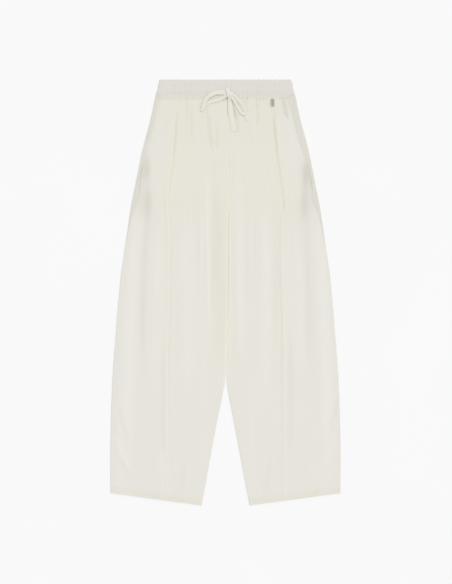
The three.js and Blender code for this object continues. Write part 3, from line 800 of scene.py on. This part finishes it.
def backShape(side):
    row = rowList(backSheet["rows"], hemRows())
    radius = (thickAt(row) - wallAt(row)) / 2
    end = seamPast(side, row) - garment["seamGap"] / 2
    samples = [innerArc(side, row, s, -1) for s in np.linspace(1, 0, backSheet["inner"] + 1)]
    first = samples[-1][0]
    last = sideArc(row, -np.pi * radius)[0]
    for s in np.linspace(0, 1, backSheet["flat"] + 1)[1:]:
        samples.append((first + s * (last - first), wallAt(row) / 2, 0 * row, 0 * row - 1))
    stop = np.minimum(end, 0)
    for s in np.linspace(0, 1, backSheet["arc"] + 1)[1:]:
        samples.append(sideArc(row, -np.pi * radius + s * (stop + np.pi * radius)))
    for s in np.linspace(0, 1, backSheet["wrap"] + 1)[1:]:
        samples.append(sideArc(row, stop + s * np.maximum(end - stop, 0.05)))
    out, z, nOut, nZ = stack(samples)
    rows = np.repeat(row[:, None], out.shape[1], axis=1)
    down = rowDown(rows, out)
    offset = wallAt(rows) / 2
    lift = relief(side, out, down) + gatherRelief(sideSign[side] * out, down)
    lift = lift - sideGroove(side, out, down)
    shape = placed(side, out + nOut * offset, down, z + nZ * offset + lift * np.maximum(nZ, 0))
    # painted shade over the whole back, stronger where it wraps round to face up at the side
    hollow = shades["rim"] * (1 + shades["backRim"] * np.maximum(nZ, 0) + 0 * down)
    return shape, np.stack([0 * hollow, 0 * hollow, hollow, 0 * hollow], axis=-1)


def makeBack(side):
    shape, paintedShading = backShape(side)
    piece = gridSheet(f"back_panel_{side}", shape, paintedShading)
    finishPiece(piece, [f"back_{side}"], cloth, backSheet["cloth"], looksInward(piece, -1))
    return piece


for side in sideSign:
    makeFront(side)
    makeBack(side)
    print("leg ready:", side)


# waistband

bandSheet = {"steps": 14, "arc": 6, "roll": 8, "cutWidth": 360, "cutLength": 78}
bandThick = 2 * band["wall"] + band["air"]


def ruffle(x):
    return band["ruffle"] * gatherWave(x) * (0.6 + 0.4 * wander(x / 3, 4))


def bandFace(x, down):
    channel = np.where(down < band["stitch"], (band["stitch"] - down) / band["stitch"],
                       (down - band["stitch"]) / 22)
    strength = 0.55 + 0.45 * wander(x / 3 + down / 9, 6)
    puff = 0.45 + 0.55 * bell((channel - 0.45) / 0.5)
    gather = band["gather"] * gatherWave(x) * strength * puff
    fine = np.sin(x / 1.15 + 1.3 * np.sin(down / 5 + x / 19)) * (0.6 + 0.4 * np.sin(x / 13))
    groove = bell((down - band["stitch"]) / 1.4)
    bottom = band["height"] - garment["seamGap"] / 2
    rim = rise(down, bottom - 4, 4) ** 2
    return gather + band["fine"] * fine - band["groove"] * groove - band["rim"] * rim


def bandShape(up):
    # the casing runs up the inside, over the fold at the top and down the outside
    bottom = band["height"] - garment["seamGap"] / 2
    inside = np.linspace(bottom, 1.5, 6)
    turn = np.linspace(0, np.pi, bandSheet["roll"] + 1)[1:-1]
    outside = np.linspace(1.5, bottom, 46)
    down = np.concatenate([inside, 1.5 - 1.5 * np.sin(turn), outside])
    level = np.concatenate([inside * 0 - 1, -np.cos(turn), outside * 0 + 1])
    half = halfAt(down) - bandThick / 2
    radius = band["wall"] / 2 + band["air"] / 2
    shares = np.linspace(1, 0, bandSheet["arc"] + 1)
    gap = garment["seamGap"] / 2

    def arc(share, sign):
        angle = share * np.pi / 2
        return (sign * (half + radius * np.sin(angle)),
                0 * down + bandThick / 2 + up * (gap + (radius - gap) * np.cos(angle)),
                0 * down + sign * np.sin(angle), 0 * down + up * np.cos(angle))

    count = band["count"] * bandSheet["steps"]
    samples = [arc(s, -1) for s in shares]
    flat = bandThick / 2 + up * (bandThick - band["wall"]) / 2
    samples += [(half * (2 * s - 1), flat + 0 * down, 0 * down, 0 * down + up)
                for s in np.linspace(0, 1, count + 1)[1:-1]]
    samples += [arc(s, 1) for s in shares[::-1]]
    x, z, nX, nZ = stack(samples)
    downs = np.repeat(down[:, None], x.shape[1], axis=1)
    levels = np.repeat(level[:, None], x.shape[1], axis=1)
    offset = levels * band["wall"] / 2
    face = bandFace(x, downs) * np.abs(nZ) * np.maximum(levels, 0) * (1 if up > 0 else 0)
    crest = ruffle(x) * fade(downs, 6, 6) * np.abs(nZ)
    y = garment["length"] / 2 - downs - crest
    shape = np.stack([x + nX * offset, y, z + nZ * offset + face], axis=-1)
    # painted shade between the gathers, along the stitching and above the bottom seam; painted highlight
    # on the gathers
    valley = (1 - gatherWave(x)) ** 2 * (0.5 + 0.5 * wander(x / 3 + downs / 7, 5))
    lines = 0.12 * bell((downs - band["stitch"]) / 2.2) + 0.2 * bell((downs - bottom + 6) / 2.4)
    hollow = np.clip(0.12 * valley + lines * (0.7 + 0.5 * wander(x / 2, 8)), 0, 1)
    hollow = hollow * np.maximum(levels, 0)
    lit = 0.15 * gatherWave(x) * np.abs(nZ)
    return shape, np.stack([lit, 0 * hollow, hollow, 0 * hollow], axis=-1)


def makeBand(name, up, node):
    shape, paintedShading = bandShape(up)
    piece = gridSheet(name, shape, paintedShading)
    finishPiece(piece, [node], bandCloth, band["cloth"], looksInward(piece, up))
    return piece


makeBand("waistband_casing_front", 1, "waistband_front")
makeBand("waistband_casing_back", -1, "waistband_back")
print("waistband ready")


# pocket facings

strip = {
    "wall": 1.0, "width": 11, "length": 90, "overlap": 5.5, "lift": 0.3, "extra": 8,
    "rows": 41, "columns": 9, "shade": 0.8,
}


def makeFacing(side):
    top, bottom = pocket["top"] - strip["extra"], pocket["bottom"] + strip["extra"]
    down = np.linspace(top, bottom, strip["rows"])
    mouth = sideArc(down, seamPast(side, down))[0]
    edge = np.minimum(mouth + strip["overlap"], halfAt(down) - thickAt(down) / 2 - 0.3)
    share = np.linspace(0, 1, strip["columns"])
    out = edge[:, None] - share[None, :] * strip["width"]
    downs = np.repeat(down[:, None], strip["columns"], axis=1)
    z = wallAt(downs) + strip["lift"] + strip["wall"] + 0.04 * np.sin(downs / 3.1)
    # painted shade: the facing lies in the pocket mouth
    paintedShading = np.full((strip["rows"], strip["columns"], 4), (0, 0, strip["shade"], 0))
    piece = gridSheet(f"pocket_strip_{side}", placed(side, out, downs, z), paintedShading)
    finishPiece(piece, [f"pocket_facing_{side}"], cloth, strip["wall"], looksInward(piece, 1))


for side in sideSign:
    makeFacing(side)
print("pocket facings ready")


# what lies on the front

def faceHeight(x, down):
    x = np.asarray(x, float)
    down = np.asarray(down, float)
    side = np.where(x < along(middle, "x", down), -1, 1)
    right = relief("right", -x, down)
    left = relief("left", x, down)
    panel = thickAt(down) + np.where(side < 0, right, left) + gatherRelief(x, down) + topLift(
        np.abs(x), down)
    return np.where(down < band["height"], bandThick + band["gather"], panel)


def highestNear(x, down, reachX, reachDown):
    steps = np.array([-1, -0.5, 0, 0.5, 1])
    dx, dd = np.meshgrid(steps * reachX, steps * reachDown)
    return faceHeight(x + dx, down + dd).max()


def routePoints(name):
    half = tape["width"] / 2
    points = []
    for x, down, lift in tieRoutes[name]:
        z = highestNear(x, down, half, half) + tape["lift"] + tape["stack"] * lift
        points.append((x, garment["length"] / 2 - down, z + tape["thickness"] / 2))
    return np.array(points)


def blend(t, start, end, first, second):
    return (end - t) / (end - start) * first + (t - start) / (end - start) * second


def smoothRoute(points, each=8):
    # centripetal curve through the points
    before = 2 * points[0] - points[1]
    after = 2 * points[-1] - points[-2]
    p = np.vstack([before, points, after])
    made = []
    for k in range(1, len(p) - 2):
        knots = [0]
        for a in range(k - 1, k + 2):
            knots.append(knots[-1] + np.linalg.norm(p[a + 1] - p[a]) ** 0.5)
        t = np.linspace(knots[1], knots[2], each, endpoint=False)[:, None]
        near = [blend(t, knots[i], knots[i + 1], p[k + i - 1], p[k + i]) for i in range(3)]
        far = [blend(t, knots[i], knots[i + 2], near[i], near[i + 1]) for i in range(2)]
        made.append(blend(t, knots[1], knots[2], *far))
    made.append(points[-1:])
    return np.vstack(made)


def levelFrames(path):
    tangents = np.gradient(path, axis=0)
    tangents /= np.linalg.norm(tangents, axis=1)[:, None]
    widths = []
    for tangent in tangents:
        level = np.cross((0, 0, 1), tangent)
        if widths and np.dot(level, widths[-1]) < 0:
            level = -level
        if widths and np.linalg.norm(level) < 0.35:
            level = widths[-1] - np.dot(widths[-1], tangent) * tangent
        widths.append(level / np.linalg.norm(level))
    widths = np.array(widths)
    return widths, np.cross(tangents, widths)


def tapeSection():
    # flat underneath, sewn along both edges, which hang to the cloth
    w, t = tape["width"] / 2, tape["thickness"] / 2
    half = [(0, t * 1.03), (1, t), (w - 2.2, t), (w - 1.5, t * 0.75), (w - 0.9, t * 0.7),
            (w - 0.3, -t * 0.2), (w, -t * 0.8)]
    bottom = [(w - 0.5, -t), (w / 2, -t), (0, -t)]
    right = half + bottom
    return np.array(right + [(-a, b) for a, b in right[-2:0:-1]])


def makeTape(name, first=1, last=1):
    # first and last are its widths at the knot and at the end, as shares of the full width
    path = smoothRoute(routePoints(name))
    widths, ups = levelFrames(path)
    section = tapeSection()
    count = len(section)
    run = np.arange(len(path))[:, None]
    pucker = 1 + tape["pucker"] * np.sin(run * 1.9 + 3 * section[None, :, 0])
    grown = first + (last - first) * smooth(run / (0.7 * len(path)))
    across = section[None, :, 0] * (grown + tape["waver"] * np.sin(run * 1.3))
    rings = (path[:, None, :] + across[:, :, None] * widths[:, None, :]
             + (section[None, :, 1] * pucker)[:, :, None] * ups[:, None, :])
    faces = []
    for i in range(len(path) - 1):
        for j in range(count):
            k = (j + 1) % count
            faces.append((i * count + j, i * count + k, (i + 1) * count + k, (i + 1) * count + j))
    half = count // 2
    for base, turned in ((0, False), ((len(path) - 1) * count, True)):
        for j in range(half - 1):
            face = [base + j, base + j + 1, base + (count - j - 1) % count, base + (count - j) % count]
            if j == 0:
                face = [base, base + 1, base + count - 1]
            faces.append(face if turned else face[::-1])
        corner = [base + half - 1, base + half, base + half + 1]
        faces.append(corner if turned else corner[::-1])
    mesh = bpy.data.meshes.new(f"tie_{name}")
    mesh.from_pydata((rings.reshape(-1, 3) * mm).tolist(), [], faces)
    piece = bpy.data.objects.new(f"tie_{name}", mesh)
    bpy.context.scene.collection.objects.link(piece)
    deselect()
    bpy.context.view_layer.objects.active = piece
    piece.select_set(True)
    bpy.ops.object.mode_set(mode="EDIT")
    bpy.ops.mesh.select_all(action="SELECT")
    bpy.ops.mesh.normals_make_consistent(inside=False)
    bpy.ops.object.mode_set(mode="OBJECT")
    finishPiece(piece, [f"drawstring_{name}"], tieCloth)
    return piece


knot = {
    "x": 6.6, "down": 31.3, "halfWidth": 5.3, "halfHeight": 10.3, "thickness": 4.6, "lean": 0.28,
    "cuts": 27, "squareness": 3.2, "turns": (0.75, -0.85), "groove": 0.16, "grooveWidth": 0.13,
}
knotCentre = np.array([knot["x"], garment["length"] / 2 - knot["down"],
                       bandThick + band["gather"] + tape["lift"] + knot["thickness"] / 2])


def makeKnot():
    # a pad of cloth pulled tight, with the turns of the tape as slanting grooves
    deselect()
    bpy.ops.mesh.primitive_cube_add(size=1)
    piece = bpy.context.object
    piece.name = "tie_knot"
    bpy.ops.object.mode_set(mode="EDIT")
    bpy.ops.mesh.subdivide(number_cuts=knot["cuts"])
    bpy.ops.object.mode_set(mode="OBJECT")
    points = np.empty(len(piece.data.vertices) * 3)
    piece.data.vertices.foreach_get("co", points)
    points = points.reshape(-1, 3)
    power = knot["squareness"]
    ball = points / (np.sum(np.abs(points) ** power, axis=1) ** (1 / power))[:, None]
    slant = ball[:, 1] * 1.9 + ball[:, 0] * 0.8
    grooves = knot["groove"] * sum(bell((slant - at) / knot["grooveWidth"]) for at in knot["turns"])
    strands = 0.05 * np.cos(slant * 9)
    grow = (1 + (strands - grooves) * (0.4 + 0.6 * np.abs(ball[:, 2])))[:, None]
    waist = 1 - 0.12 * bell(ball[:, 1] / 0.5)
    shape = ball * grow
    shape[:, 0] *= knot["halfWidth"] * waist
    shape[:, 1] *= knot["halfHeight"]
    shape[:, 2] *= knot["thickness"] / 2
    turn = np.array([[math.cos(knot["lean"]), -math.sin(knot["lean"]), 0],
                     [math.sin(knot["lean"]), math.cos(knot["lean"]), 0], [0, 0, 1]])
    shape = shape @ turn.T + knotCentre
    piece.data.vertices.foreach_set("co", (shape * mm).astype(np.float32).ravel())
    piece.data.update()
    finishPiece(piece, ["drawstring_knot"], tieCloth)
    return piece


tiedKnot = makeKnot()
makeTape("loop_left", 1.3, 0.95)
makeTape("loop_right", 0.85, 0.8)
makeTape("tail_centre", 0.85, 1.55)
makeTape("tail_side", 0.8, 1.1)
print("drawstring ready")


# metal tab

tab = {
    "x": 108, "down": 53.5, "width": 8, "length": 18, "thickness": 1.2, "lift": 0.3,
    "bevel": 0.35, "rim": 1.1, "step": 0.35, "sunk": 0.3,
}


def makeTab():
    base = highestNear(tab["x"], tab["down"], tab["width"] / 2, tab["length"] / 2) + tab["lift"]
    deselect()
    bpy.ops.mesh.primitive_cylinder_add(
        vertices=48, radius=tab["width"] / 2 * mm, depth=tab["thickness"] * mm,
        location=(0, 0, tab["thickness"] / 2 * mm))
    piece = bpy.context.object
    piece.name = "tab_plate"
    stretch = (tab["length"] - tab["width"]) / 2 * mm
    for vertex in piece.data.vertices:
        vertex.co.y += stretch if vertex.co.y > 0 else -stretch
    bpy.ops.object.mode_set(mode="EDIT")
    bpy.ops.mesh.select_mode(type="FACE")
    bpy.ops.mesh.select_all(action="DESELECT")
    bpy.ops.object.mode_set(mode="OBJECT")
    for face in piece.data.polygons:
        face.select = face.normal.z > 0.5
    bpy.ops.object.mode_set(mode="EDIT")
    bpy.ops.mesh.inset(thickness=tab["rim"] * mm)
    bpy.ops.mesh.inset(thickness=tab["step"] * mm, depth=-tab["sunk"] * mm)
    bpy.ops.object.mode_set(mode="OBJECT")
    edge = piece.modifiers.new("edge", "BEVEL")
    edge.width = tab["bevel"] * mm
    edge.segments = 3
    edge.limit_method = "ANGLE"
    bpy.ops.object.modifier_apply(modifier=edge.name)
    piece.location = (tab["x"] * mm, (garment["length"] / 2 - tab["down"]) * mm, base * mm)
    bpy.ops.object.transform_apply(location=True, rotation=True, scale=True)
    return finishPiece(piece, ["metal_tab"], metal)


makeTab()
print("tab ready")


# stitches

# length, pitch and thickness of the stitches
stitch = {"hem": (2.6, 3.3, 0.62), "band": (2.4, 3.0, 0.56), "bar": (4.2, 6, 0.56)}
stitching = {"sink": 0.02, "bandHalf": 150, "fromInseam": 3, "fromSide": 4}
fly = {"beside": 3, "top": 40, "bottom": 197, "bar": (196, 201), "barReach": (3.4, 1.6)}


def stitchHeight(x, down):
    panel = faceHeight(x, down)
    onBand = bandThick + bandFace(x, down)
    return np.where(down < band["height"] - 0.2, onBand, panel)


def oneStitch(name, length, thick):
    # a short round thread with rounded ends, lying along x
    deselect()
    bpy.ops.mesh.primitive_uv_sphere_add(
        segments=6, ring_count=6, radius=0.5 * mm, rotation=(0, math.pi / 2, 0))
    bpy.ops.object.transform_apply(rotation=True)
    bpy.ops.transform.resize(value=(length, thick, thick * 0.8))
    bpy.ops.object.transform_apply(scale=True)
    piece = bpy.context.object
    piece.name = name
    return piece


def makeStitches(name, lines, size):
    # each line is the points (x, down) that a row of stitches follows
    length, pitch, thick = size
    first = oneStitch(name, length, thick)
    places = []
    for line in lines:
        x, down = np.array(line, float).T
        run = np.concatenate([[0], np.cumsum(np.hypot(np.diff(x), np.diff(down)))])
        starts = np.arange(0.5, run[-1] - length, pitch)
        ends = []
        for at in (starts, starts + length):
            endX, endDown = np.interp(at, run, x), np.interp(at, run, down)
            y = garment["length"] / 2 - endDown
            ends.append(np.stack([endX, y, stitchHeight(endX, endDown)], axis=-1))
        places += zip(*ends)
    deselect()
    for a, b in places:
        copy = first.copy()
        copy.data = first.data.copy()
        copy.location = (a + b) / 2 * mm - np.array([0, 0, stitching["sink"] * mm])
        x, y, z = b - a
        copy.rotation_euler = (0, -math.atan2(z, math.hypot(x, y)), math.atan2(y, x))
        bpy.context.scene.collection.objects.link(copy)
        copy.select_set(True)
        bpy.context.view_layer.objects.active = copy
    bpy.data.objects.remove(first)
    bpy.ops.object.join()
    bpy.ops.object.transform_apply(location=True, rotation=True, scale=True)
    piece = bpy.context.object
    piece.name = name
    return finishPiece(piece, [], threadCloth)


def hemLine(side):
    inner = garment["hemInner"] + stitching["fromInseam"]
    outer = garment["hemOuter"] - stitching["fromSide"]
    out = np.linspace(inner, outer, 60)
    row = hemOuterDown - hem["depth"]
    return [(sideSign[side] * o, float(rowDown(np.array(row), np.array(o)))) for o in out]


for side in sideSign:
    makeStitches(f"hem_stitches_{side}", [hemLine(side)], stitch["hem"])
bandHalf = stitching["bandHalf"]
bandLine = [(x, band["stitch"]) for x in np.linspace(-bandHalf, bandHalf, 90)]
makeStitches("waistband_stitches", [bandLine], stitch["band"])
flyX = along(middle, "x", np.array([100.0]))[0] + fly["beside"]
flyLine = [(flyX, d) for d in np.linspace(fly["top"], fly["bottom"], 40)]
before, after = fly["barReach"]
bartack = [[(flyX - before, d), (flyX + after, d)] for d in np.linspace(*fly["bar"], 9)]
makeStitches("fly_stitches", [flyLine], stitch["hem"])
makeStitches("fly_bartack", bartack, stitch["bar"])
print("stitches ready")


# floor, light and camera

studio = {
    "floor": 6.0, "floorDrop": 0.2, "pixel": 2.3, "frame": (452, 584), "centre": (0.5, -0.5),
    "lens": 90, "sensor": 36, "world": 0.62,
    "key": {"strength": 1.15, "angle": 28, "from": (0.75, 0.6, 1)},
    "fill": {"strength": 0.4, "angle": 40, "from": (-1, 0.1, 1)},
}

bpy.ops.mesh.primitive_grid_add(x_subdivisions=8, y_subdivisions=8, size=studio["floor"])
floor = bpy.context.object
floor.name = "floor"
for vertex in floor.data.vertices:
    vertex.co.z = -studio["floorDrop"] * mm
floor.data.materials.append(floorMaterial(floorFinish))


def addSun(name, light):
    lamp = bpy.data.lights.new(name, "SUN")
    lamp.energy = light["strength"]
    lamp.angle = math.radians(light["angle"])
    item = bpy.data.objects.new(name, lamp)
    x, y, z = light["from"]
    item.location = (2 * x, 2 * y, 2 * z)
    item.rotation_euler = (math.acos(z / math.hypot(x, y, z)), 0, math.atan2(x, -y))
    bpy.context.scene.collection.objects.link(item)


addSun("keyLight", studio["key"])
addSun("fillLight", studio["fill"])

world = bpy.data.worlds.new("studio")
world.use_nodes = True
world.node_tree.nodes["Background"].inputs["Color"].default_value = (1, 1, 1, 1)
world.node_tree.nodes["Background"].inputs["Strength"].default_value = studio["world"]
bpy.context.scene.world = world

camera = bpy.data.cameras.new("camera")
camera.lens = studio["lens"]
camera.sensor_width = studio["sensor"]
camera.clip_end = 50
view = bpy.data.objects.new("camera", camera)
pixel = studio["pixel"] * mm
centreX, centreDown = studio["centre"]
distance = studio["lens"] * studio["frame"][1] * pixel / studio["sensor"]
view.location = (centreX * pixel, -centreDown * pixel, distance)
bpy.context.scene.collection.objects.link(view)
bpy.context.scene.camera = view
bpy.context.scene.view_settings.view_transform = "Standard"
print("studio ready")
